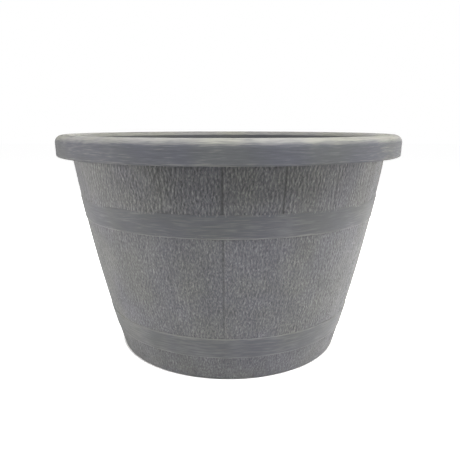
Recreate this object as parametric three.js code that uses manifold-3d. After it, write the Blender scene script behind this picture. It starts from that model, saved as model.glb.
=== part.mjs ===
/**
 * Barrel planter: one resin moulding shaped like the lower half of a cask, with rubber drain plugs.
 *
 * Units are millimetres and +Z is up. The origin is the centre of the foot on the ground, and Z is
 * the axis of the barrel. Angles around the planter count from the front, -Y, towards +X.
 */
import * as THREE from 'three';
import { mergeVertices } from 'three/addons/utils/BufferGeometryUtils.js';
import Module from 'manifold-3d';

const wasm = await Module();
wasm.setup();

// ---------------------------------------------------------------- driving dimensions

// The body, a tapered wall that bows out like staves.
const overallHeight = 246;
const footDiameter = 261.5;      // outside of the wall at the ground
const neckDiameter = 355.9;      // outside of the wall level with the rim's lower edge
const staveBow = 3.9;            // how far the wall swells out of a straight taper at half its height
const wallThickness = 3.2;

// The rim, rolled outwards and turned down, open underneath.
const rimDiameter = 390;
const rimDepth = 22.5;           // from the crest to the lower edge
const rimThickness = 2.8;
const rimOuterRound = 8;
const rimInnerRound = 6;
const rimEdgeRound = 2.4;        // outer round of the lower edge
const rimLean = 0.4;             // how far the face leans in towards its lower edge

// The gussets that tie the rim's skirt to the wall, seen only from below.
const gussetCount = 16;
const gussetThickness = 2;
const gussetSetback = 4;         // from the rim's lower edge up to the gusset

// The staves, and the two hoops in relief over them.
const staveCount = 20;
const seamAngle = -1.6;          // degrees from the front to the nearest seam
const seamWidth = 2.6;
const seamDepth = 0.7;
const seamRunout = 6;            // how far a seam runs on above the rim's lower edge
const hoopWidth = 23;
const hoopRelief = 0.7;
const hoopBevel = 0.4;
const upperHoopHeight = 168.4;   // ground to the middle of the upper hoop
const lowerHoopHeight = 39.5;    // ground to the middle of the lower hoop

// The floor, held off the ground inside the foot ring, with ribs and a hub underneath.
const floorHeight = 6;           // ground to the underside of the floor
const floorThickness = 3.5;
const floorRound = 10;           // inside, where the floor meets the wall
const footWidth = 6.5;
const footOuterRound = 2.5;
const footDraft = 1;             // how far the inside of the foot ring leans
const ribCount = 8;
const ribAngle = 22.5;           // degrees from the front to the first rib
const ribThickness = 2.2;
const ribDepth = 3;
const ribBite = 1;               // how far what stands on the floor runs into it
const hubDiameter = 28;

// The drains, and the plugs that seat in them from above.
const drainCount = 4;
const drainAngle = 45;           // degrees from the front to the first drain
const drainCircle = 150;         // diameter of the circle that the drains lie on
const drainBore = 22;
const collarWall = 4.5;
const collarDepth = 3;
const seatDepth = 1.2;           // recess in the floor for the flange
const plugClearance = 0.3;       // round the stem and the flange, and under the flange
const flangeDiameter = 32;
const flangeThickness = 2.4;
const flangeRound = 0.9;
const stemLength = 6.2;          // from the flange's underside to the plug's end
const stemTaper = 0.5;           // how far the stem narrows, on the radius
const stemEndRound = 0.5;
const stemWall = 2.6;
const tabWidth = 18;
const tabTopWidth = 14;
const tabRound = 5;
const tabHeight = 9;
const tabThickness = 3.4;

// How finely the round forms are drawn.
const barrelSegments = 80;
const plugSegments = 18;
const wallRows = 5;
const seamSteps = 5;
const roundTolerance = 0.22;     // how far a facet may stand off a round

// ---------------------------------------------------------------- values worked out from them

const rimLowerEdge = overallHeight - rimDepth;
const footRadius = footDiameter / 2;
const neckRadius = neckDiameter / 2;
const rimRadius = rimDiameter / 2;
const floorTop = floorHeight + floorThickness;
const boreRadius = drainBore / 2;
const seatHeight = floorTop - seatDepth;
const flangeRadius = flangeDiameter / 2;
const flangeLow = seatHeight + plugClearance;
const flangeHigh = flangeLow + flangeThickness;
const halfStave = 180 / staveCount;

// Where the leaning face of the rim would meet its crest, if its corner weren't rounded.
const faceSlope = Math.atan2(rimLean, rimDepth - rimOuterRound);
const rimCorner = rimRadius + rimOuterRound * (Math.tan(faceSlope) + 1 / Math.cos(faceSlope) - 1);

/** Outside radius of the wall at a height: a straight taper, bowed out by a parabola. */
function wallRadius(height) {
  const t = height / rimLowerEdge;
  return THREE.MathUtils.lerp(footRadius, neckRadius, t) + 4 * staveBow * t * (1 - t);
}

/** Radius of the rim's outer face at a height, before its rounds. */
function faceRadius(height) {
  const t = (height - rimLowerEdge) / rimDepth;
  return THREE.MathUtils.lerp(rimRadius - rimLean, rimCorner, t);
}

// ---------------------------------------------------------------- shared operations

/**
 * Rounds an outline. Each corner is [x, y] or [x, y, radius], and the arc of a rounded corner
 * touches both of its sides. A round is held to the room on its sides, half of a side that it
 * shares with another round.
 */
function roundCorners(corners) {
  const points = [];
  corners.forEach(([x, y, radius], i) => {
    const corner = new THREE.Vector2(x, y);
    if (!radius) {
      points.push(corner);
      return;
    }
    const sides = [corners.at(i - 1), corners[(i + 1) % corners.length]];
    const ways = sides.map((end) => new THREE.Vector2(end[0], end[1]).sub(corner));
    const room = Math.min(...ways.map((way, k) => way.length() / (sides[k][2] ? 2 : 1)));
    const [before, after] = ways.map((way) => way.normalize());
    const half = Math.acos(before.dot(after)) / 2;
    const reach = Math.min(radius / Math.tan(half), room);
    const arcRadius = reach * Math.tan(half);
    const middle = before.clone().add(after).normalize();
    const centre = corner.clone().addScaledVector(middle, arcRadius / Math.sin(half));
    const start = corner.clone().addScaledVector(before, reach).sub(centre);
    const end = corner.clone().addScaledVector(after, reach).sub(centre);
    const sweep = Math.atan2(start.cross(end), start.dot(end));
    const widestStep = 2 * Math.acos(Math.max(0, 1 - roundTolerance / arcRadius));
    const steps = Math.ceil(Math.abs(sweep) / widestStep);
    for (let k = 0; k <= steps; k++) {
      const turned = start.clone().rotateAround(new THREE.Vector2(), sweep * k / steps);
      points.push(turned.add(centre));
    }
  });
  return points;
}

/** Revolves an outline of (radius, height) corners about Z. */
function revolve(corners, segments) {
  return new THREE.LatheGeometry(roundCorners(corners), segments).rotateX(Math.PI / 2);
}

/** A plate of even thickness that stands on the front radius, from its (radius, height) corners. */
function radialPlate(corners, thickness) {
  const shape = new THREE.Shape(roundCorners(corners));
  const plate = new THREE.ExtrudeGeometry(shape, { depth: thickness, bevelEnabled: false });
  return plate.translate(0, 0, -thickness / 2).rotateX(Math.PI / 2).rotateZ(-Math.PI / 2);
}

/** A ring of equal steps, in radians, that starts at an angle in degrees. */
function ringAngles(count, firstDegrees) {
  const first = THREE.MathUtils.degToRad(firstDegrees);
  return Array.from({ length: count }, (_, i) => first + i * 2 * Math.PI / count);
}

/** Turns a closed geometry into a solid that can be joined and cut. */
function toSolid(geometry) {
  const bare = geometry.clone();
  bare.deleteAttribute('normal');
  bare.deleteAttribute('uv');
  const merged = mergeVertices(bare);
  const index = Array.from(merged.index.array);
  const triVerts = [];
  for (let i = 0; i < index.length; i += 3) {
    const triangle = index.slice(i, i + 3);
    if (new Set(triangle).size === 3) {
      triVerts.push(...triangle);
    }
  }
  return new wasm.Manifold(new wasm.Mesh({
    numProp: 3,
    vertProperties: new Float32Array(merged.attributes.position.array),
    triVerts: new Uint32Array(triVerts),
  }));
}

/** Turns a solid back into a geometry. */
function toGeometry(solid) {
  const mesh = solid.getMesh();
  const geometry = new THREE.BufferGeometry();
  geometry.setAttribute('position', new THREE.BufferAttribute(mesh.vertProperties, 3));
  geometry.setIndex(new THREE.BufferAttribute(mesh.triVerts, 1));
  geometry.computeVertexNormals();
  return geometry;
}

/** A solid copy, at each angle, of a geometry made on the front. */
function turnedCopies(geometry, angles) {
  return angles.map((angle) => toSolid(geometry.clone().rotateZ(angle)));
}

// ---------------------------------------------------------------- the shell

/** The wall, rim, floor and foot in one revolved section. */
function bodyGeometry() {
  const channelTop = overallHeight - rimThickness;
  const outerWall = [];
  const innerWall = [];
  for (let k = 1; k <= wallRows; k++) {
    const height = THREE.MathUtils.lerp(footOuterRound, rimLowerEdge, k / wallRows);
    outerWall.push([wallRadius(height), height]);
    innerWall.unshift([wallRadius(height) - wallThickness, height]);
  }
  return revolve([
    [0, floorHeight],
    [footRadius - footWidth - footDraft, floorHeight],
    [footRadius - footWidth, 0],
    [footRadius, 0, footOuterRound],
    ...outerWall,
    [wallRadius(channelTop), channelTop],
    [faceRadius(overallHeight) - rimThickness, channelTop, rimOuterRound - rimThickness],
    [faceRadius(rimLowerEdge) - rimThickness, rimLowerEdge],
    [faceRadius(rimLowerEdge), rimLowerEdge, rimEdgeRound],
    [faceRadius(overallHeight), overallHeight, rimOuterRound],
    [wallRadius(overallHeight) - wallThickness, overallHeight, rimInnerRound],
    ...innerWall,
    [wallRadius(floorTop) - wallThickness, floorTop, floorRound],
    [0, floorTop],
  ], barrelSegments);
}

/** The line that a seam follows up the outside of the wall, in the plane of X and Z. */
class SeamLine extends THREE.Curve {
  getPoint(t) {
    const height = THREE.MathUtils.lerp(-seamRunout, rimLowerEdge + seamRunout, t);
    return new THREE.Vector3(wallRadius(height), 0, height);
  }
}

/** A V-shaped cutter along a seam, as wide as the seam at the wall's surface, with its tip inside. */
function seamCutter() {
  const vee = new THREE.Shape([
    new THREE.Vector2(0, -seamDepth),
    new THREE.Vector2(seamWidth, seamDepth),
    new THREE.Vector2(-seamWidth, seamDepth),
  ]);
  const options = { steps: seamSteps, extrudePath: new SeamLine(), bevelEnabled: false };
  return new THREE.ExtrudeGeometry(vee, options).rotateZ(-Math.PI / 2);
}

/** A hoop in relief. Its root lies deeper than the seams, so it closes them where it crosses. */
function hoopGeometry(middle) {
  const low = middle - hoopWidth / 2;
  const high = middle + hoopWidth / 2;
  const root = (height) => wallRadius(height) - 2 * seamDepth;
  const face = (height) => wallRadius(height) + hoopRelief;
  return revolve([
    [root(low), low],
    [face(low) - hoopBevel, low],
    [face(low + hoopBevel), low + hoopBevel],
    [face(high - hoopBevel), high - hoopBevel],
    [face(high) - hoopBevel, high],
    [root(high), high],
    [root(low), low],
  ], barrelSegments);
}

/** A gusset in the channel under the rim. Its hidden edges run down the middle of what it joins. */
function gussetGeometry() {
  const low = rimLowerEdge + gussetSetback;
  const inset = rimThickness / 2;
  const high = overallHeight - inset;
  return radialPlate([
    [wallRadius(low) - wallThickness / 2, low],
    [faceRadius(low) - inset, low],
    [faceRadius(overallHeight) - inset, high, rimOuterRound - inset],
    [wallRadius(high) - wallThickness / 2, high],
  ], gussetThickness);
}

/** A rib under the floor, from the hub to the foot ring. */
function ribGeometry() {
  const inner = hubDiameter / 2 - ribBite;
  const outer = footRadius - footWidth;
  return radialPlate([
    [inner, floorHeight - ribDepth],
    [outer, floorHeight - ribDepth],
    [outer, floorHeight + ribBite],
    [inner, floorHeight + ribBite],
  ], ribThickness);
}

/** A round boss about Z that hangs from the floor's underside. */
function bossGeometry(radius, depth) {
  return revolve([
    [0, floorHeight - depth],
    [radius, floorHeight - depth],
    [radius, floorHeight + ribBite],
    [0, floorHeight + ribBite],
  ], plugSegments);
}

/** The space that a drain about Z takes out of the floor: its bore, and the flange's recess. */
function drainGeometry() {
  const seatRadius = flangeRadius + plugClearance;
  const clearOfFloor = floorTop + floorThickness;
  return revolve([
    [0, 0],
    [boreRadius, 0],
    [boreRadius, seatHeight],
    [seatRadius, seatHeight],
    [seatRadius, clearOfFloor],
    [0, clearOfFloor],
  ], plugSegments);
}

/** The shell: the body, its seams, what is joined to it, and the drains through it. */
function shellGeometry() {
  const drainAngles = ringAngles(drainCount, drainAngle);
  const seams = turnedCopies(seamCutter(), ringAngles(staveCount, seamAngle));
  const collar = bossGeometry(boreRadius + collarWall, collarDepth);
  const drain = drainGeometry();
  const additions = [
    toSolid(hoopGeometry(lowerHoopHeight)),
    toSolid(hoopGeometry(upperHoopHeight)),
    toSolid(bossGeometry(hubDiameter / 2, ribDepth)),
    ...turnedCopies(ribGeometry(), ringAngles(ribCount, ribAngle)),
    ...turnedCopies(gussetGeometry(), ringAngles(gussetCount, seamAngle + halfStave)),
    ...turnedCopies(collar.translate(0, -drainCircle / 2, 0), drainAngles),
  ];
  const drains = turnedCopies(drain.translate(0, -drainCircle / 2, 0), drainAngles);
  let shell = toSolid(bodyGeometry());
  for (const seam of seams) {
    shell = shell.subtract(seam);
  }
  for (const addition of additions) {
    shell = shell.add(addition);
  }
  for (const cut of drains) {
    shell = shell.subtract(cut);
  }
  return toGeometry(shell);
}

// ---------------------------------------------------------------- the drain plugs

/** A stopper about Z, hollow underneath, with its flange just clear of its seat. */
function stopperGeometry() {
  const end = flangeLow - stemLength;
  const stemTop = boreRadius - plugClearance;
  const stemEnd = stemTop - stemTaper;
  return revolve([
    [0, flangeLow],
    [stemEnd - stemWall, flangeLow],
    [stemEnd - stemWall, end],
    [stemEnd, end, stemEndRound],
    [stemTop, flangeLow],
    [flangeRadius, flangeLow],
    [flangeRadius, flangeHigh, flangeRound],
    [0, flangeHigh],
  ], plugSegments);
}

/** The pull tab that stands across the flange, a plate with a round top. */
function tabGeometry() {
  const top = flangeHigh + tabHeight;
  const shape = new THREE.Shape(roundCorners([
    [-tabWidth / 2, flangeHigh - flangeRound],
    [tabWidth / 2, flangeHigh - flangeRound],
    [tabTopWidth / 2, top, tabRound],
    [-tabTopWidth / 2, top, tabRound],
  ]));
  const tab = new THREE.ExtrudeGeometry(shape, { depth: tabThickness, bevelEnabled: false });
  return tab.translate(0, 0, -tabThickness / 2).rotateX(Math.PI / 2);
}

function plugGeometry() {
  return toGeometry(toSolid(stopperGeometry()).add(toSolid(tabGeometry())));
}

// ---------------------------------------------------------------- materials and assembly

const resin = new THREE.MeshStandardMaterial({ color: 0x74777a, roughness: 0.62, metalness: 0 });

const planter = new THREE.Group();
planter.name = 'barrel_planter';

const shell = new THREE.Mesh(shellGeometry(), resin);
shell.name = 'planter_shell';
planter.add(shell);

ringAngles(drainCount, drainAngle).forEach((angle, i) => {
  const rubber = new THREE.MeshStandardMaterial({ color: 0x1b1c1d, roughness: 0.8, metalness: 0 });
  const plug = new THREE.Mesh(plugGeometry(), rubber);
  plug.name = `drain_plug_${i + 1}`;
  plug.position.y = -drainCircle / 2;
  const spoke = new THREE.Group();
  spoke.rotation.z = angle;
  spoke.add(plug);
  planter.add(spoke);
});

export default planter;
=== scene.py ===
import math

import bmesh
import bpy
import numpy as np
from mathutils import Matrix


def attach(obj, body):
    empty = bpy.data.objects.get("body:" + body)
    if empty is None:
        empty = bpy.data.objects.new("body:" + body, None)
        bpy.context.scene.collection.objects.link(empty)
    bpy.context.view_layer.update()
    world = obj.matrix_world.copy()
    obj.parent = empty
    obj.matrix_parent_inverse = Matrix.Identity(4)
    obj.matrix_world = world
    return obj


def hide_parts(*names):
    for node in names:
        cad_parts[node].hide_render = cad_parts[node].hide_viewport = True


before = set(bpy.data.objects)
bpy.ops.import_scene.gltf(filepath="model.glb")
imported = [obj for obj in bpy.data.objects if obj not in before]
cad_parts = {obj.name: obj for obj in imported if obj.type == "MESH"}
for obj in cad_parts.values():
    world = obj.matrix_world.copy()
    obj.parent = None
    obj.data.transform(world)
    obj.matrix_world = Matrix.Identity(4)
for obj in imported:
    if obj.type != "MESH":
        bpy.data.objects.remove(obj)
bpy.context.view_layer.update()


# ==================================================================================================
# The studio. The planter stands on white paper between softboxes at its sides. One high in front
# lights the paper, which throws light up onto the wall, while the rim shades the wall under it.
# Others behind and above give the crest of the rim and its two ends their sheen.
# ==================================================================================================

def srgb(code):
    """Turns a hex colour into linear red, green, blue and alpha."""
    levels = np.array([int(code[i:i + 2], 16) for i in (1, 3, 5)]) / 255
    light = np.where(levels <= 0.04045, levels / 12.92, ((levels + 0.055) / 1.055) ** 2.4)
    return (*light.tolist(), 1.0)


def add(tree, kind, inputs=None, stops=None, **settings):
    """Adds a node with settings. Each input is a value or another node's output, and stops are the
    places and colours of a ramp."""
    node = tree.nodes.new(kind)
    for key, value in settings.items():
        setattr(node, key, value)
    for key, value in (inputs or {}).items():
        if isinstance(value, bpy.types.NodeSocket):
            tree.links.new(value, node.inputs[key])
        else:
            node.inputs[key].default_value = value
    if stops:
        elements = node.color_ramp.elements
        while len(elements) < len(stops):
            elements.new(1.0)
        for element, (place, colour) in zip(elements, stops):
            element.position = place
            element.color = srgb(colour)
    return node


def softbox(name, place, aim, width, height, power, colour=(1.0, 1.0, 1.0)):
    """A rectangular area light at a place, in metres, that faces a point."""
    light = bpy.data.lights.new(name, "AREA")
    light.shape = "RECTANGLE"
    light.size = width
    light.size_y = height
    light.energy = power
    light.color = colour
    lamp = bpy.data.objects.new(name, light)
    lamp.location = place
    way = np.subtract(aim, place)
    flat = math.hypot(way[0], way[1])
    lamp.rotation_euler = (math.atan2(flat, -way[2]), 0, math.atan2(-way[0], way[1]))
    scene.collection.objects.link(lamp)


scene = bpy.context.scene
scene.view_settings.view_transform = "Standard"

# The camera's place, tilt and lens are those that fit the edges in the photograph. It stands a
# little above the rim and 0.39 m before it.
lens = bpy.data.cameras.new("camera")
lens.sensor_fit = "HORIZONTAL"
lens.sensor_width = 36
lens.lens = 37.54
camera = bpy.data.objects.new("camera", lens)
camera.location = (0.0016, -0.5804, 0.2571)
camera.rotation_euler = (math.radians(90 - 12.45), 0, 0)
scene.collection.objects.link(camera)
scene.camera = camera

# Each lamp's place and aim in metres, its width and height, its power in watts and its colour.
WARM = (1.0, 0.98, 0.94)
softbox("front_softbox", (0.08, -0.55, 0.95), (0, -0.38, 0.0), 0.5, 0.35, 10)
softbox("right_softbox", (1.2, -0.1, 0.28), (0, 0, 0.12), 0.7, 0.4, 6, WARM)
softbox("left_softbox", (-1.2, -0.1, 0.28), (0, 0, 0.12), 0.7, 0.4, 9.5, WARM)
softbox("right_floor_lamp", (0.75, -0.1, 0.9), (0.45, -0.1, 0.0), 0.6, 0.6, 4, WARM)
softbox("rear_right_softbox", (1.0, 0.6, 0.3), (0, 0, 0.12), 0.6, 0.4, 2.5, WARM)
softbox("rear_softbox", (-0.1, 1.2, 0.4), (0, 0, 0.12), 0.7, 0.5, 8)
softbox("overhead_softbox", (0.15, 0.5, 1.2), (0, 0, 0.2), 1.2, 1.0, 3, (1.0, 0.97, 0.91))

# White to the camera, and to the planter a dim room of this brightness.
ROOM_GLOW = 0.01
world = bpy.data.worlds.new("white_surround")
world.use_nodes = True
scene.world = world
sky = world.node_tree
sky.nodes.clear()
seen = add(sky, "ShaderNodeLightPath")
level = add(sky, "ShaderNodeMix", {0: seen.outputs["Is Camera Ray"], 2: ROOM_GLOW, 3: 1.0})
glow = add(sky, "ShaderNodeBackground", {"Color": (1, 1, 1, 1), "Strength": level.outputs[0]})
add(sky, "ShaderNodeOutputWorld", {"Surface": glow.outputs[0]})

# Matt white paper, large enough that its edge is never seen. What the camera sees of it is raised
# to plain white, as a studio picture is, apart from the patch under the planter and a thin ring of
# shadow round its foot. The raise fades in between two distances from the middle, in metres.
PAPER_RAISE = 0.98
RAISE_FROM, RAISE_FULL = 0.1295, 0.134
PAPER_HALF = 6
paper = bpy.data.materials.new("white_paper")
paper.use_nodes = True
sheet_tree = paper.node_tree
sheet_tree.nodes.clear()
matt = add(sheet_tree, "ShaderNodeBsdfDiffuse", {"Color": (0.9, 0.9, 0.9, 1)})
seen = add(sheet_tree, "ShaderNodeLightPath")
lift = add(sheet_tree, "ShaderNodeMath", {
    0: seen.outputs["Is Camera Ray"], 1: PAPER_RAISE}, operation="MULTIPLY")
spot = add(sheet_tree, "ShaderNodeTexCoord").outputs["Object"]
reach = add(sheet_tree, "ShaderNodeVectorMath", {0: spot}, operation="LENGTH")
open_floor = add(sheet_tree, "ShaderNodeMapRange", {
    "Value": reach.outputs["Value"], "From Min": RAISE_FROM, "From Max": RAISE_FULL})
raised = add(sheet_tree, "ShaderNodeMath", {
    0: lift.outputs[0], 1: open_floor.outputs[0]}, operation="MULTIPLY")
lit = add(sheet_tree, "ShaderNodeEmission", {"Color": (1, 1, 1, 1), "Strength": raised.outputs[0]})
both = add(sheet_tree, "ShaderNodeAddShader", {0: matt.outputs[0], 1: lit.outputs[0]})
add(sheet_tree, "ShaderNodeOutputMaterial", {"Surface": both.outputs[0]})
floor_mesh = bpy.data.meshes.new("floor_sheet")
floor_mesh.from_pydata(
    [(PAPER_HALF * x, PAPER_HALF * y, 0) for x, y in ((-1, -1), (1, -1), (1, 1), (-1, 1))],
    [], [(0, 1, 2, 3)])
floor_mesh.materials.append(paper)
floor_sheet = bpy.data.objects.new("floor_sheet", floor_mesh)
scene.collection.objects.link(floor_sheet)


# ==================================================================================================
# The shell's core: inner wall, rolled rim with turned-down skirt, and foot ring. The whole shell is
# one moulding in grey polypropylene about 3 mm thick, dry-brushed with a paler grey on what stands
# proud. The core's outside lies back under the moulded faces that the next sections add.
# ==================================================================================================

MM = 0.001
FOOT_RADIUS = 130.75           # sizes are in mm
NECK_RADIUS = 177.95           # outside of the wall level with the rim's lower edge
STAVE_BOW = 3.9
WALL = 3.2
HEIGHT = 246.0
RIM_LOW = 223.5
RIM_RADIUS = 194.9
RIM_WALL = 2.8
RIM_LEAN = 0.4
RIM_ROUND = 8.0
FLOOR_LOW = 6.0
FLOOR_TOP = 9.5
FACE_LOW = 2.5                 # the moulded faces start above the foot's round
FACE_TOP = 226.5               # and end in the channel, out of sight under the rim
SKIN = 1.6                     # thickness of the moulded faces over the core
RING_OUTER = FOOT_RADIUS - 2.5  # the flat of the foot ring that stands on the ground
RING_INNER = FOOT_RADIUS - 6.5
RING_ROOT = FOOT_RADIUS - 7.5  # and where its inside meets the floor
LEDGE = FOOT_RADIUS - 8.6      # edge of the recess that takes the floor
CORE_COLUMNS = 480
SHARP = math.radians(38)       # edges that bend more than this are drawn sharp


def wall_radius(z):
    """Outside radius at height z: foot + (neck - foot) t + 4 bow t (1 - t), t = z / rim_low."""
    t = np.asarray(z, float) / RIM_LOW
    return FOOT_RADIUS + (NECK_RADIUS - FOOT_RADIUS) * t + 4 * STAVE_BOW * t * (1 - t)


def rounded(corners, step=0.5):
    """An outline with arcs on its corners, cut every step mm. Each corner is (x, y, radius), and an
    arc touches both sides: its centre lies radius / sin(half angle) along the bisector."""
    outline = []
    for i, (x, y, radius) in enumerate(corners):
        corner = np.array([x, y])
        if radius == 0:
            outline.append(corner[None])
            continue
        before = np.array(corners[i - 1][:2]) - corner
        after = np.array(corners[(i + 1) % len(corners)][:2]) - corner
        before /= np.linalg.norm(before)
        after /= np.linalg.norm(after)
        half = math.acos(before @ after) / 2
        reach = radius / math.tan(half)
        bisector = (before + after) / np.linalg.norm(before + after)
        centre = corner + bisector * radius / math.sin(half)
        start = corner + before * reach - centre
        end = corner + after * reach - centre
        sweep = math.atan2(start[0] * end[1] - start[1] * end[0], start @ end)
        turn = np.linspace(0, sweep, max(2, round(abs(sweep) * radius / step)) + 1)
        across = np.array([-start[1], start[0]])
        outline.append(
            centre + np.cos(turn)[:, None] * start + np.sin(turn)[:, None] * across)
    return np.concatenate(outline)


def divided(outline, longest):
    """A closed outline with its sides cut into equal parts, so that none is longer than that."""
    side = np.roll(outline, -1, axis=0) - outline
    parts = np.ceil(np.hypot(*side.T) / longest).astype(int)
    number = np.arange(parts.sum()) - np.repeat(np.cumsum(parts) - parts, parts)
    share = number / np.repeat(parts, parts)
    return np.repeat(outline, parts, axis=0) + np.repeat(side, parts, axis=0) * share[:, None]


def ring_faces(rows, columns, closed):
    """Corner numbers of a grid of points, row by row. Columns meet round the axis, and the last row
    meets the first where the section is closed."""
    row, column = np.meshgrid(
        np.arange(rows if closed else rows - 1), np.arange(columns), indexing="ij")
    above = (row + 1) % rows
    beside = (column + 1) % columns
    return np.stack([row * columns + column, row * columns + beside,
                     above * columns + beside, above * columns + column], -1).reshape(-1, 4)


def make_piece(name, points, faces, body, slot, materials, **marks):
    """A mesh piece from points in mm and four-cornered faces. marks are numbers at its points."""
    mesh = bpy.data.meshes.new(name)
    mesh.vertices.add(len(points))
    mesh.vertices.foreach_set("co", (np.asarray(points, float) * MM).ravel())
    mesh.loops.add(faces.size)
    mesh.loops.foreach_set("vertex_index", faces.ravel())
    mesh.polygons.add(len(faces))
    mesh.polygons.foreach_set("loop_start", np.arange(0, faces.size, 4))
    mesh.polygons.foreach_set("use_smooth", np.ones(len(faces), bool))
    mesh.update(calc_edges=True)
    for key, values in marks.items():
        layer = mesh.attributes.new(key, "FLOAT", "POINT")
        layer.data.foreach_set("value", np.asarray(values, float).ravel())
    mesh.set_sharp_from_angle(angle=SHARP)
    for material in materials:
        mesh.materials.append(material)
    piece = bpy.data.objects.new(name, mesh)
    scene.collection.objects.link(piece)
    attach(piece, body)
    return piece


def around(columns):
    """Angles that divide a full turn evenly."""
    return np.arange(columns) * 2 * math.pi / columns


def turned_points(radius, height, angles):
    """Points (r sin a, -r cos a, z): an outline of r and z, or a grid of them, carried round Z."""
    radius, height, angles = np.broadcast_arrays(radius, height, angles)
    return np.stack([radius * np.sin(angles), -radius * np.cos(angles), height], -1).reshape(-1, 3)


# The finish of all the resin: sizes and depths in mm, and shares between 0 and 1.
PATCH_SIZE = 31.25             # of the patches in the dry-brushing
PATCH_SPREAD = 0.32            # how much paler or darker they come out
CAST_SIZE = 50.0               # of the drift from a warm to a blue grey
SPECKS_PER_MM = 1.4            # of the mould's spark-eroded surface
SPECK_DEPTH = 0.03
WASH_COLOUR = "#3F4042"        # what the seams hold
WASH_COVER = 0.85
RESIN_IOR = 1.49
CHALK_SPREAD = 0.4


def resin(name, colours, strokes, sway, contrast, rough, grain_depth, chalk):
    """Moulded polypropylene with a dry-brushed finish, dull from its spark-eroded mould.

    colours are those of pits, ground and brushed ridges. strokes is the size in mm of the brushed
    strokes along X and Y, and along Z, sway how far in mm they wander and over what length, and
    contrast how strongly they part into pits and ridges. rough is the roughness of pits and of
    ridges, grain_depth the height in mm of the strokes' own relief, and chalk the share of light
    that the brushed powdery colour throws back at a glancing angle. The colour's place between
    pits and ridges is mark + contrast (stroke - 1/2) + spread (patch - 1/2), from two noises and
    the mesh's own mark for the paler colour, which holds the brush and also painted shade and
    painted highlights. Where the mark wash is high, a dark grey lies over it."""
    material = bpy.data.materials.new(name)
    material.use_nodes = True
    tree = material.node_tree
    tree.nodes.clear()
    place = add(tree, "ShaderNodeTexCoord").outputs["Object"]
    drift = add(tree, "ShaderNodeTexNoise", {
        "Vector": place, "Scale": 1 / (sway[1] * MM), "Detail": 1.0})
    centred = add(tree, "ShaderNodeVectorMath", {
        0: drift.outputs["Color"], 1: (0.5, 0.5, 0.5)}, operation="SUBTRACT")
    shift = add(tree, "ShaderNodeVectorMath", {
        0: centred.outputs[0], "Scale": 2 * sway[0] * MM}, operation="SCALE")
    bent = add(tree, "ShaderNodeVectorMath", {0: place, 1: shift.outputs[0]}, operation="ADD")
    across, along = (1 / (size * MM) for size in strokes)
    stretched = add(tree, "ShaderNodeVectorMath", {
        0: bent.outputs[0], 1: (across, across, along)}, operation="MULTIPLY")
    stroke = add(tree, "ShaderNodeTexNoise", {
        "Vector": stretched.outputs[0], "Scale": 1.0, "Detail": 2.0, "Roughness": 0.6})
    # Broad patches where more or less of the paler colour was left.
    patch = add(tree, "ShaderNodeTexNoise", {
        "Vector": place, "Scale": 1 / (PATCH_SIZE * MM), "Detail": 2.0})
    more = add(tree, "ShaderNodeMath", {
        0: patch.outputs["Fac"], 1: PATCH_SPREAD, 2: -0.5 * PATCH_SPREAD},
        operation="MULTIPLY_ADD")
    ridge = add(tree, "ShaderNodeAttribute", attribute_name="ridge")
    wash = add(tree, "ShaderNodeAttribute", attribute_name="wash")
    brush = add(tree, "ShaderNodeMath", {
        0: stroke.outputs["Fac"], 1: contrast, 2: -0.5 * contrast}, operation="MULTIPLY_ADD")
    laid = add(tree, "ShaderNodeMath", {0: brush.outputs[0], 1: more.outputs[0]}, operation="ADD")
    height = add(tree, "ShaderNodeMath", {
        0: ridge.outputs["Fac"], 1: laid.outputs[0]}, operation="ADD", use_clamp=True)
    brushed = add(tree, "ShaderNodeValToRGB", {"Fac": height.outputs[0]}, stops=(
        (0.0, colours[0]), (0.5, colours[1]), (1.0, colours[2])))
    # A slow drift between a warmer and a faintly blue grey.
    cloud = add(tree, "ShaderNodeTexNoise", {
        "Vector": place, "Scale": 1 / (CAST_SIZE * MM), "Detail": 2.0})
    cast = add(tree, "ShaderNodeValToRGB", {"Fac": cloud.outputs["Fac"]}, stops=(
        (0.35, "#F9F9F4"), (0.65, "#F4F3FB")))
    tinted = add(tree, "ShaderNodeMix", {
        0: 1.0, 6: brushed.outputs["Color"], 7: cast.outputs["Color"]},
        data_type="RGBA", blend_type="MULTIPLY")
    dirt = add(tree, "ShaderNodeMath", {
        0: wash.outputs["Fac"], 1: WASH_COVER}, operation="MULTIPLY")
    aged = add(tree, "ShaderNodeMix", {
        0: dirt.outputs[0], 6: tinted.outputs[2], 7: srgb(WASH_COLOUR)}, data_type="RGBA")
    polish = add(tree, "ShaderNodeMapRange", {
        "Value": height.outputs[0], "To Min": rough[0], "To Max": rough[1]})
    speck = add(tree, "ShaderNodeTexNoise", {
        "Vector": place, "Scale": SPECKS_PER_MM / MM, "Detail": 2.0})
    skin = add(tree, "ShaderNodeBump", {
        "Height": speck.outputs["Fac"], "Strength": 1.0, "Distance": SPECK_DEPTH * MM})
    bump = add(tree, "ShaderNodeBump", {
        "Height": stroke.outputs["Fac"], "Strength": 1.0, "Distance": 4 * grain_depth * MM,
        "Normal": skin.outputs[0]})
    shader = add(tree, "ShaderNodeBsdfPrincipled", {
        "Base Color": aged.outputs[2], "Roughness": polish.outputs[0], "IOR": RESIN_IOR,
        "Sheen Weight": chalk, "Sheen Roughness": CHALK_SPREAD, "Normal": bump.outputs[0]})
    add(tree, "ShaderNodeOutputMaterial", {"Surface": shader.outputs[0]})
    return material


# Inside and underneath the mould is plain, and no brush has been there. Its greys are also
# darker, a painted shade for the shaded inside.
plain_resin_painted_shade = resin(
    "polypropylene_plain_mould_painted_shade", ("#484A4C", "#525456", "#5C5D5E"), (18, 18), (4, 36), 0.5,
    (0.55, 0.5), 0.01, 0.0)
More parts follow.
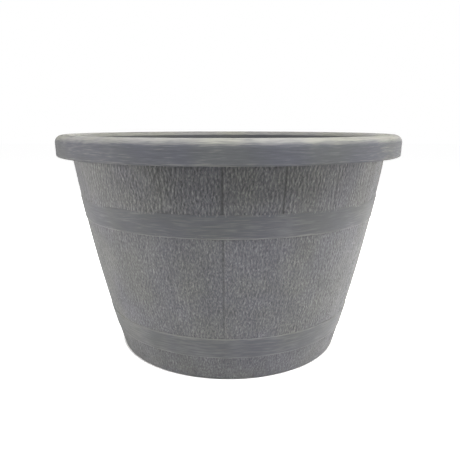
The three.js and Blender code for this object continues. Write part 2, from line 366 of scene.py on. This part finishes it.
# The rim carries long streaks that run round the planter, as brushed on.
streaked_resin = resin(
    "polypropylene_brushed_along_hoops", ("#4B4D52", "#5F6166", "#9B9B94"), (15, 0.9), (1.5, 40),
    0.75, (0.8, 0.7), 0.04, 0.02)

neck_crest = float(wall_radius(HEIGHT)) - WALL
channel_top = HEIGHT - RIM_WALL
face_slope = math.atan2(RIM_LEAN, HEIGHT - RIM_LOW - RIM_ROUND)
crest_corner = RIM_RADIUS + RIM_ROUND * (math.tan(face_slope) + 1 / math.cos(face_slope) - 1)
rim_lip = RIM_RADIUS - RIM_LEAN
above_lip = RIM_LOW + 3.0
core_outline = divided(rounded([
    (RING_ROOT, FLOOR_LOW, 0),
    (RING_INNER, 0, 0.6),
    (RING_OUTER, 0, 0),
    (RING_OUTER, FACE_LOW, 0),
    *[(float(wall_radius(z)) - SKIN, z, 0) for z in np.linspace(FACE_LOW, FACE_TOP, 12)],
    (float(wall_radius(FACE_TOP)), FACE_TOP, 0),
    (float(wall_radius(channel_top)), channel_top, 1.5),
    (crest_corner - RIM_WALL, channel_top, RIM_ROUND - RIM_WALL),
    (rim_lip - RIM_WALL, RIM_LOW, 0.5),
    (rim_lip, RIM_LOW, 1.8),
    (rim_lip + (crest_corner - rim_lip) * (above_lip - RIM_LOW) / (HEIGHT - RIM_LOW), above_lip, 0),
    (crest_corner, HEIGHT, RIM_ROUND),
    (neck_crest, HEIGHT, 6.0),
    *[(float(wall_radius(z)) - WALL, z, 0) for z in np.linspace(230, 24, 42)],
    (float(wall_radius(FLOOR_TOP)) - WALL, FLOOR_TOP, 10.0),
    (LEDGE, FLOOR_TOP, 0),
    (LEDGE, FLOOR_TOP - 1.5, 0),
    (RING_ROOT, FLOOR_TOP - 1.5, 0),
]), 8)
core_r, core_z = core_outline.T

# The brush caught the lower edge of the rim's face. The crest is paler, partly from the brush and
# partly as a painted highlight of the light from above: the paler colour comes in from this far
# under the top, over so many mm, on the inner and the outer round.
INNER_PAINT, INNER_FADE = 6.5, 2.2
OUTER_PAINT, OUTER_FADE = 6.6, 5.0
on_edge = (core_r > rim_lip - 1.2) & (core_z < RIM_LOW + 1.8)
outside_in = np.arange(len(core_r)) > np.argmax(core_r)
inner_round = core_r < RIM_RADIUS - 9
paint_low = HEIGHT - np.where(inner_round, INNER_PAINT, OUTER_PAINT)
paint_fade = np.where(inner_round, INNER_FADE, OUTER_FADE)
painted = outside_in * np.clip((core_z - paint_low) / paint_fade, 0, 1)
core_ridge = 0.46 + 0.1 * on_edge + 0.5 * painted
core = make_piece(
    "shell_core", turned_points(core_r[:, None], core_z[:, None], around(CORE_COLUMNS)),
    ring_faces(len(core_outline), CORE_COLUMNS, True), "shell", "shell_resin",
    [plain_resin_painted_shade, streaked_resin], ridge=np.repeat(core_ridge, CORE_COLUMNS),
    wash=np.zeros(len(core_outline) * CORE_COLUMNS))
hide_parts("planter_shell")
# The streaks cover the rim from its lower edge over the crest to the inner round.
face_z = (core_z + np.roll(core_z, -1)) / 2
face_r = (core_r + np.roll(core_r, -1)) / 2
streaked = (face_r > rim_lip - 1.5) | (outside_in & (face_z > HEIGHT - 6.8))
core.data.polygons.foreach_set(
    "material_index", np.repeat(streaked, CORE_COLUMNS).astype(np.int32))


# ==================================================================================================
# The moulded faces of the wall: the same resin, with a relief from the mould that copies oak
# staves. Each has its own run of short, wavy ridges some 4 mm apart, and soft seams lie between.
# The paler brushed colour lies on the ridges. The seams hold a dark wash, some more than others.
# ==================================================================================================

STAVES = 20
STAVE = 2 * math.pi / STAVES
FIRST_SEAM = math.radians(-1.6)
SEAM_WIDTH = 4.4
SEAM_DEPTH = 0.7
SEAM_LEAST = 0.1               # share of its depth that even a closed seam has
SEAM_FADE = (2, 35, 140)       # heights in mm at which none, half and all of a seam is there
GRAIN_SPACING = 3.6            # mm between ridges
GRAIN_SLANT = 0.6              # radians that the ridges swing either way
GRAIN_DEPTH = 0.15             # mm above and below the wall's surface
MEAN_RADIUS = 155.0
HOOP_WIDTH = 23.0
LOWER_HOOP = 39.5
UPPER_HOOP = 168.4
HOOP_RELIEF = 0.7
EDGE_RISE = 0.95               # share of it that the wall rises to the upper hoop's top edge
EDGE_REACH = 1.4               # mm over which it does so
WALL_COLUMNS = 72              # between two seams, not counting those beside them

chance = np.random.default_rng(41)


def band_noise(spacing, slant, octaves, rows=256, columns=4096):
    """A field of waves with a given spacing in mm that run mostly upright, and close on themselves.

    White noise is filtered on its spectrum: exp(-(ln(k spacing) / octaves)^2) holds the
    wavelength, and exp(-(direction / slant)^2) the direction. It covers the wall, which is
    2 pi mean_radius by height."""
    across = np.fft.fftfreq(columns, 2 * math.pi * MEAN_RADIUS / columns)[None]
    up = np.fft.fftfreq(rows, HEIGHT / rows)[:, None]
    pitch = np.maximum(np.hypot(across, up), 1e-9)
    direction = np.arctan2(np.abs(up), np.abs(across))
    keep = np.exp(-(np.log(pitch * spacing) / octaves) ** 2) * np.exp(-(direction / slant) ** 2)
    field = np.fft.ifft2(np.fft.fft2(chance.standard_normal((rows, columns))) * keep).real
    return field / field.std()


def sampled(field, angle, height):
    """The field between its points, weighted by how near each of the four around a place lies."""
    rows, columns = field.shape
    row = np.mod(height / HEIGHT, 1) * rows
    column = np.mod(angle / (2 * math.pi), 1) * columns
    low, left = np.floor(row).astype(int), np.floor(column).astype(int)
    up, on = row - low, column - left
    low, left = low % rows, left % columns
    top, right = (low + 1) % rows, (left + 1) % columns
    return ((field[low, left] * (1 - on) + field[low, right] * on) * (1 - up)
            + (field[top, left] * (1 - on) + field[top, right] * on) * up)


grain = band_noise(GRAIN_SPACING, GRAIN_SLANT, 0.6)
patches = band_noise(38.0, 1.2, 0.7)
stave_lift = chance.uniform(0, HEIGHT, STAVES)
# How open each seam was left, above the upper hoop and below it: by chance, but at the front, from
# the middle to the right and then to the left, as the photograph shows them.
FRONT_SEAMS = [0, 1, 2, 3, 4, -1, -2, -3, -4]
seams_high = chance.uniform(0.3, 0.7, STAVES)
seams_high[FRONT_SEAMS] = (1.0, 1.0, 0.35, 0.25, 0.2, 0.3, 0.2, 0.2, 0.2)
seams_low = chance.uniform(0.3, 0.6, STAVES)
seams_low[FRONT_SEAMS] = (0.75, 0.25, 0.2, 0.2, 0.2, 0.25, 0.2, 0.2, 0.2)

# Columns crowd at the seams, whose curve needs them, and are even between.
beside_seam = np.array([0.0, 0.45, 0.9, 1.5]) / MEAN_RADIUS
seam_edge = SEAM_WIDTH / 2 / MEAN_RADIUS
between = np.linspace(seam_edge, STAVE - seam_edge, WALL_COLUMNS)
one_stave = np.concatenate([beside_seam, between, STAVE - beside_seam[:0:-1]])
wall_angles = (FIRST_SEAM + np.arange(STAVES)[:, None] * STAVE + one_stave).ravel()
stave_of = np.repeat(np.arange(STAVES), len(one_stave))
from_seam = np.tile(np.where(one_stave > STAVE / 2, one_stave - STAVE, one_stave), STAVES)
nearest_seam = np.where(from_seam < 0, (stave_of + 1) % STAVES, stave_of)

grained_resin = resin(
    "polypropylene_oak_grain", ("#454649", "#66676A", "#929391"), (1.1, 3.4), (2.4, 14), 1.7,
    (0.65, 0.5), 0.06, 0.33)

hoop_edges = np.array([LOWER_HOOP - HOOP_WIDTH / 2, LOWER_HOOP + HOOP_WIDTH / 2,
                       UPPER_HOOP - HOOP_WIDTH / 2, UPPER_HOOP + HOOP_WIDTH / 2])


def wall_face(name, outline, back):
    """A ring of the wall's moulded face: an outline of r and z from its foot up, and the two points
    that close it inside the core.

    The surface lies at r + relief. Relief is depth tanh(1.3 grain), faded near the foot, less
    seam_depth (1 + cos(pi distance / half width)) / 2 at each seam, times how open the seam is.
    Over the upper hoop it rises by exp(-(distance / reach)^2) towards the hoop's top edge. The
    mark for the paler colour follows the grain. It is lower from 172 mm up and under the rim, as
    painted shade of the rim, a little lower below the lower hoop, and higher along one lip of each
    open seam, as a painted highlight."""
    r, z = (column[:, None] for column in np.array(outline).T)
    broad = sampled(patches, wall_angles, z)
    ripple = np.tanh(1.3 * sampled(grain, wall_angles, z + stave_lift[stave_of]))
    ripple *= np.clip(0.85 + 0.25 * broad, 0.35, 1.2) * np.clip((z - 2) / 4, 0, 1)

    off = from_seam * r
    seam = 0.5 + 0.5 * np.cos(math.pi * np.clip(np.abs(off) / (SEAM_WIDTH / 2), 0, 1))
    kept = np.interp(z, SEAM_FADE, (0, 0.5, 1))
    opened = np.where(z > UPPER_HOOP, seams_high[nearest_seam], kept * seams_low[nearest_seam])
    cut = SEAM_LEAST * kept + (1 - SEAM_LEAST) * opened

    above = np.clip(z - hoop_edges[3], 0, None) / EDGE_REACH
    ragged = np.clip(0.85 + 0.5 * broad, 0.4, 1)
    rise = EDGE_RISE * HOOP_RELIEF * np.exp(-above ** 2) * ragged * (z > hoop_edges[2])
    relief = GRAIN_DEPTH * ripple * (1 - seam) - SEAM_DEPTH * seam * cut + rise

    # The wall is darker from 172 mm up and in the last 4 mm under the rim, a painted shade of the
    # rim, and a little darker below the lower hoop. The brush marked the grain more strongly over
    # the upper hoop.
    painted_rim_shade_and_darker_base = 0.1 * np.clip((z - 172) / 30, 0, 1) + 0.12 * np.clip((z - 218) / 4, 0, 1)
    painted_rim_shade_and_darker_base += 0.05 * (z < LOWER_HOOP)
    bite = 0.12 + 0.11 * np.clip((z - 165) / 25, 0, 1)
    # One lip of each open seam is paler, a painted highlight as if light fell on it from that side.
    painted_lip_highlight = np.exp(-((off - 1.5) / 0.7) ** 2) * opened
    ridge = 0.5 - painted_rim_shade_and_darker_base + bite * ripple * (1 - seam) + 0.2 * painted_lip_highlight
    wash = np.clip(0.85 * seam * opened, 0, 1)

    inner = np.repeat(np.array(back), len(wall_angles), axis=0)
    points = np.concatenate([
        turned_points(r + relief, z, wall_angles),
        turned_points(inner[:, 0], inner[:, 1], np.tile(wall_angles, len(back)))])
    blank = np.zeros(len(inner))
    ring = make_piece(
        name, points, ring_faces(len(r) + len(back), len(wall_angles), True),
        "shell", "shell_resin", [grained_resin],
        ridge=np.concatenate([ridge.ravel(), blank]),
        wash=np.concatenate([wash.ravel(), blank]))
    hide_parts("planter_shell")


def wall_line(heights):
    """Points of the wall's outside at these heights."""
    return [(float(wall_radius(z)), float(z)) for z in heights]


TUCK = 2.0                     # how far a face runs on under a hoop
BURIED = SKIN + 0.6            # how deep its back lies
FOOT_ROUND = 2.5               # radius of the round at the wall's lowest edge
low_top, middle_low, middle_top, high_low = hoop_edges + np.array([TUCK, -TUCK, TUCK, -TUCK])
foot_round = rounded([
    (RING_OUTER, 0, 0), (FOOT_RADIUS, 0, FOOT_ROUND), (*wall_line([4.2])[0], 0)])
# Rows crowd at the hoops' edges, where the wall rises to them.
near = np.array([0.35, 0.9, 1.8])
wall_face("wall_face_low", [
    *foot_round, *wall_line(np.linspace(6, hoop_edges[0] - 2.8, 10)),
    *wall_line(hoop_edges[0] - near[::-1]), *wall_line([hoop_edges[0], low_top])],
    [(float(wall_radius(low_top)) - BURIED, low_top), (float(wall_radius(3)) - BURIED, 3.0)])
wall_face("wall_face_middle", wall_line([
    middle_low, hoop_edges[1], *(hoop_edges[1] + near),
    *np.linspace(hoop_edges[1] + 3.4, hoop_edges[2] - 3.4, 48),
    *(hoop_edges[2] - near[::-1]), hoop_edges[2], middle_top]),
    [(float(wall_radius(z)) - BURIED, z) for z in (middle_top, middle_low)])
wall_face("wall_face_high", wall_line([
    high_low, hoop_edges[3], *(hoop_edges[3] + near),
    *np.linspace(hoop_edges[3] + 3.4, FACE_TOP, 21)]),
    [(float(wall_radius(z)) - BURIED, z) for z in (FACE_TOP, high_low)])


# ==================================================================================================
# The hoops: two plain bands that the mould raises 0.7 mm over the staves, where a cask has its iron
# hoops. They are part of the moulding, so they have no lap and no rivets. Long streaks of the
# brushed finish run along them, and their edges are rubbed paler.
# ==================================================================================================

HOOP_COLUMNS = 480
HOOP_ROOT = 1.2                # how deep a band is set into the wall
RUB_WIDTH = 0.8                # of the paler line at its edges
hoop_resin = resin(
    "polypropylene_brushed_hoop", ("#4B4D52", "#606265", "#9A9A95"), (18, 1.1), (1.5, 40), 0.6,
    (0.75, 0.65), 0.04, 0.37)


def hoop(name, middle, worn, low_rub, high_rub):
    """A closed band with rounded edges about a height. worn is how pale it is brushed, and the rubs
    how much paler its edges are, which fades by exp(-(distance / rub_width)^2)."""
    low, high = middle - HOOP_WIDTH / 2, middle + HOOP_WIDTH / 2
    outline = divided(rounded([
        (float(wall_radius(low)) - HOOP_ROOT, low, 0),
        (float(wall_radius(low)) + HOOP_RELIEF, low, 0.4),
        *[(r + HOOP_RELIEF, z, 0) for r, z in wall_line(np.linspace(low + 1.6, high - 1.6, 6))],
        (float(wall_radius(high)) + HOOP_RELIEF, high, 0.4),
        (float(wall_radius(high)) - HOOP_ROOT, high, 0)], 0.2), 2.5)
    r, z = outline.T
    rub = (low_rub * np.exp(-((z - low) / RUB_WIDTH) ** 2)
           + high_rub * np.exp(-((high - z) / RUB_WIDTH) ** 2))
    band = make_piece(
        name, turned_points(r[:, None], z[:, None], around(HOOP_COLUMNS)),
        ring_faces(len(outline), HOOP_COLUMNS, True), "shell", "shell_resin", [hoop_resin],
        ridge=np.repeat(worn + 0.3 * rub, HOOP_COLUMNS), wash=np.zeros(len(r) * HOOP_COLUMNS))
    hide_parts("planter_shell")


hoop("hoop_lower", LOWER_HOOP, 0.53, 0.8, 0.8)
hoop("hoop_upper", UPPER_HOOP, 0.5, 0.9, 0.1)


# ==================================================================================================
# The floor, 3.5 mm thick and held off the ground, with the four drain holes in it. Each has a sunk
# seat on top and a collar underneath, and ribs run from a hub to the foot ring. All of it is the
# same plain moulding as the inside of the wall.
# ==================================================================================================

DRAIN_CIRCLE = 75.0            # radius
DRAIN_BORE = 11.0              # radius
SEAT_RADIUS = 16.3
SEAT_HEIGHT = 8.3
UNDERSIDE = 3.0                # lowest level of collars, hub and ribs
BRACE_TOP = 7.0                # and their highest, inside the floor
COLLAR = 4.5                   # thickness of the collar's wall
HUB_RADIUS = 14.0
RIB = 2.2                      # thickness
DISC_EDGE = FOOT_RADIUS - 7.1  # inside the core's recess
ROUND_COLUMNS = 72             # round the drains, the hub and the plugs
drain_angles = np.radians(45 + 90 * np.arange(4))


def weld(piece):
    """Joins the points that lie together on an axis, where a turned row closes to a pole."""
    work = bmesh.new()
    work.from_mesh(piece.data)
    bmesh.ops.remove_doubles(work, verts=work.verts, dist=1e-7)
    work.to_mesh(piece.data)
    work.free()


def solid_of_turning(name, outline, columns, centres):
    """Closed bodies turned about upright axes at these centres, from one outline of r and z."""
    r, z = np.array(outline).T
    one = turned_points(r[:, None], z[:, None], around(columns))
    points = (one[None] + np.array([(*c, 0) for c in centres])[:, None]).reshape(-1, 3)
    faces = ring_faces(len(r), columns, True)
    faces = (faces[None] + len(one) * np.arange(len(centres))[:, None, None]).reshape(-1, 4)
    still = np.zeros(len(points))
    piece = make_piece(
        name, points, faces, "shell", "shell_resin", [plain_resin_painted_shade], ridge=still + 0.5, wash=still)
    weld(piece)
    return piece


def cut_out(piece, tool):
    """Takes the tool's solid out of the piece, and the tool out of the scene. The edges that it
    cuts are as plain as the rest."""
    cut = piece.modifiers.new("cut", "BOOLEAN")
    cut.operation = "DIFFERENCE"
    cut.solver = "EXACT"
    cut.object = tool
    bpy.context.view_layer.update()
    result = bpy.data.meshes.new_from_object(
        piece.evaluated_get(bpy.context.evaluated_depsgraph_get()))
    piece.modifiers.clear()
    piece.data = result
    for mark, value in (("ridge", 0.5), ("wash", 0.0)):
        if mark in result.attributes:
            result.attributes.remove(result.attributes[mark])
        layer = result.attributes.new(mark, "FLOAT", "POINT")
        layer.data.foreach_set("value", np.full(len(result.vertices), value))
    bpy.data.objects.remove(tool)


drain_places = [(DRAIN_CIRCLE * math.sin(a), -DRAIN_CIRCLE * math.cos(a)) for a in drain_angles]
base = solid_of_turning("shell_floor", [
    (0, FLOOR_LOW), (DISC_EDGE, FLOOR_LOW), (DISC_EDGE, FLOOR_TOP), (0, FLOOR_TOP)],
    240, [(0, 0)])
drains = solid_of_turning("drain_cutters", [
    (0, 0), (DRAIN_BORE, 0), (DRAIN_BORE, SEAT_HEIGHT), (SEAT_RADIUS, SEAT_HEIGHT),
    (SEAT_RADIUS, FLOOR_TOP - 0.4), (SEAT_RADIUS + 0.8, FLOOR_TOP + 0.4), (0, FLOOR_TOP + 0.4)],
    ROUND_COLUMNS, drain_places)
cut_out(base, drains)
base.data.set_sharp_from_angle(angle=math.radians(30))
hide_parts("planter_shell")
collars = solid_of_turning("drain_collars", rounded([
    (DRAIN_BORE, UNDERSIDE, 0.4), (DRAIN_BORE + COLLAR, UNDERSIDE, 0.6),
    (DRAIN_BORE + COLLAR, BRACE_TOP, 0), (DRAIN_BORE + 0.8, BRACE_TOP, 0),
    (DRAIN_BORE, FLOOR_LOW, 0)], 0.25), ROUND_COLUMNS, drain_places)
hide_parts("planter_shell")
hub = solid_of_turning("floor_hub", [
    (0, UNDERSIDE), (HUB_RADIUS - 0.5, UNDERSIDE), (HUB_RADIUS, UNDERSIDE + 0.5),
    (HUB_RADIUS, BRACE_TOP), (0, BRACE_TOP)], ROUND_COLUMNS, [(0, 0)])
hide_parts("planter_shell")


def plates(name, inner, outer, heights, thickness, angles):
    """Upright plates on these radii. Each level is four corners, at the plate's inner and outer
    radius and half its thickness to either side, and its lowest and highest levels are capped."""
    levels = len(heights)
    r = np.stack([inner, outer, outer, inner], -1)
    side = np.array([-0.5, -0.5, 0.5, 0.5]) * thickness
    z = np.repeat(np.array(heights)[:, None], 4, axis=1)
    turn = np.array(angles)[:, None, None]
    points = np.stack([r * np.sin(turn) + side * np.cos(turn),
                       -r * np.cos(turn) + side * np.sin(turn),
                       np.broadcast_to(z, (len(angles), levels, 4))], -1).reshape(-1, 3)
    caps = np.array([[3, 2, 1, 0], np.arange(4) + 4 * (levels - 1)])
    one = np.concatenate([ring_faces(levels, 4, False), caps])
    faces = (one[None] + 4 * levels * np.arange(len(angles))[:, None, None]).reshape(-1, 4)
    still = np.zeros(len(points))
    piece = make_piece(name, points, faces, "shell", "shell_resin", [plain_resin_painted_shade],
                       ridge=still + 0.5, wash=still)
    soft = piece.modifiers.new("softened_edges", "BEVEL")
    soft.width = 0.35 * MM
    soft.segments = 2
    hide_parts("planter_shell")


plates("floor_ribs", [HUB_RADIUS - 1] * 2, [FOOT_RADIUS - 6.0] * 2, [UNDERSIDE, BRACE_TOP], RIB,
       np.radians(22.5 + 45 * np.arange(8)))


# ==================================================================================================
# The gussets: sixteen thin plates moulded across the channel under the rim, which keep its skirt
# from spreading when the planter is lifted by it. They stop short of the rim's lower edge, so they
# are seen only from below.
# ==================================================================================================

GUSSET = 2.0                   # thickness
SET_IN = RIM_WALL / 2          # they end in the middle of the rim's wall
gusset_round = RIM_ROUND - SET_IN
gusset_z = np.linspace(RIM_LOW + 5, HEIGHT - SET_IN, 16)
gusset_out = rim_lip + (crest_corner - rim_lip) * (gusset_z - RIM_LOW) / (HEIGHT - RIM_LOW) - SET_IN
over = np.clip(gusset_z - (HEIGHT - RIM_ROUND), 0, None)
gusset_out -= gusset_round - np.sqrt(np.clip(gusset_round ** 2 - over ** 2, 0, None))
plates("rim_gussets", wall_radius(gusset_z) - WALL / 2, gusset_out, gusset_z, GUSSET,
       FIRST_SEAM + STAVE / 2 + np.arange(16) * math.pi / 8)


# ==================================================================================================
# The drain plugs: four black rubber stoppers. The flange rests on the seat, the hollow stem fills
# the hole, and a tab stands up for finger and thumb. Compression moulded, so matt and softly edged.
# ==================================================================================================

# Outdoor rubber: nearly black, with a faint grey bloom in patches and fine pores that dull it.
BLOOM_SIZE = 6.25
PORES_PER_MM = 2.2
PORE_DEPTH = 0.03
rubber = bpy.data.materials.new("epdm_rubber_matt")
rubber.use_nodes = True
tree = rubber.node_tree
tree.nodes.clear()
place = add(tree, "ShaderNodeTexCoord").outputs["Object"]
bloom = add(tree, "ShaderNodeTexNoise", {
    "Vector": place, "Scale": 1 / (BLOOM_SIZE * MM), "Detail": 4.0})
black = add(tree, "ShaderNodeValToRGB", {"Fac": bloom.outputs["Fac"]}, stops=(
    (0.3, "#1A1B1C"), (0.7, "#2A2B2C")))
dull = add(tree, "ShaderNodeMapRange", {
    "Value": bloom.outputs["Fac"], "To Min": 0.62, "To Max": 0.82})
pores = add(tree, "ShaderNodeTexNoise", {
    "Vector": place, "Scale": PORES_PER_MM / MM, "Detail": 2.0})
bump = add(tree, "ShaderNodeBump", {
    "Height": pores.outputs["Fac"], "Distance": PORE_DEPTH * MM})
skin = add(tree, "ShaderNodeBsdfPrincipled", {
    "Base Color": black.outputs["Color"], "Roughness": dull.outputs[0], "IOR": 1.52,
    "Normal": bump.outputs[0]})
add(tree, "ShaderNodeOutputMaterial", {"Surface": skin.outputs[0]})

FLANGE_LOW = 8.6
FLANGE_TOP = 11.0
FLANGE_RADIUS = 16.0
STEM_RADIUS = 10.7
STEM_END = 2.4
STEM_WALL = 3.1
TAB_TOP = 20.0
TAB_HALF_WIDTH = 9.0
TAB_TAPER = 2.0                # how much narrower its half width is at the top
TAB_ROUND = 5.0                # radius of its top corners
TAB_HALF_THICK = 1.7
TAB_EDGE = 1.2                 # height over which its top edge rounds off
TAB_FLARE = 1.3                # how far it swells into the flange


def drain_plug(number, angle):
    """A stopper turned about its own axis, and a tab lofted from flat rounded sections.

    The tab's section is the curve |x / w|^4 + |y / t|^4 = 1. Its half width w narrows upwards and
    rounds off over the top 5 mm as a circle does. Its half thickness t swells into the flange."""
    outline = rounded([
        (0, FLANGE_LOW, 0), (STEM_RADIUS - STEM_WALL, FLANGE_LOW, 0.5),
        (STEM_RADIUS - STEM_WALL, STEM_END, 0.4), (STEM_RADIUS - 0.5, STEM_END, 0.6),
        (STEM_RADIUS, FLANGE_LOW, 0.3), (FLANGE_RADIUS, FLANGE_LOW, 0.3),
        (FLANGE_RADIUS, FLANGE_TOP, 0.9), (0, FLANGE_TOP, 0)], 0.2)
    r, z = outline.T
    angles = around(ROUND_COLUMNS)
    stopper = turned_points(r[:, None], z[:, None], angles)

    rise = 1 - np.cos(np.linspace(0, math.pi / 2, 26)) ** 1.5
    up = FLANGE_TOP - 0.3 + (TAB_TOP - FLANGE_TOP + 0.3) * rise
    over = np.clip(up - (TAB_TOP - TAB_ROUND), 0, TAB_ROUND)
    corner = TAB_ROUND - np.sqrt(TAB_ROUND ** 2 - over ** 2)
    share = TAB_TAPER * (up - FLANGE_TOP) / (TAB_TOP - FLANGE_TOP)
    near_top = np.clip(up - (TAB_TOP - TAB_EDGE), 0, TAB_EDGE) / TAB_EDGE
    flare = TAB_FLARE * np.exp(-(up - FLANGE_TOP + 0.3) / 0.7)
    half_width = TAB_HALF_WIDTH - share - corner + flare
    half_thick = TAB_HALF_THICK * np.sqrt(1 - near_top ** 2 * 0.995) + flare
    bulge = (np.abs(np.cos(angles)) ** 4 + np.abs(np.sin(angles)) ** 4) ** -0.25
    tab = np.stack(np.broadcast_arrays(
        half_width[:, None] * np.cos(angles) * bulge,
        half_thick[:, None] * np.sin(angles) * bulge, up[:, None]), -1).reshape(-1, 3)
    low_pole, high_pole = tab[:ROUND_COLUMNS].mean(0), tab[-ROUND_COLUMNS:].mean(0)
    tab = np.concatenate([np.tile(low_pole, (ROUND_COLUMNS, 1)), tab,
                          np.tile(high_pole, (ROUND_COLUMNS, 1))])

    x, y, height = np.concatenate([stopper, tab]).T
    y = y - DRAIN_CIRCLE
    points = np.stack([x * math.cos(angle) - y * math.sin(angle),
                       x * math.sin(angle) + y * math.cos(angle), height], -1)
    faces = np.concatenate([
        ring_faces(len(r), ROUND_COLUMNS, True),
        ring_faces(len(up) + 2, ROUND_COLUMNS, False) + len(stopper)])
    plug = make_piece(
        f"plug_{number}", points, faces, f"plug_{number}", "plug_rubber", [rubber])
    weld(plug)
    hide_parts(f"drain_plug_{number}")


for i, angle in enumerate(drain_angles):
    drain_plug(i + 1, float(angle))
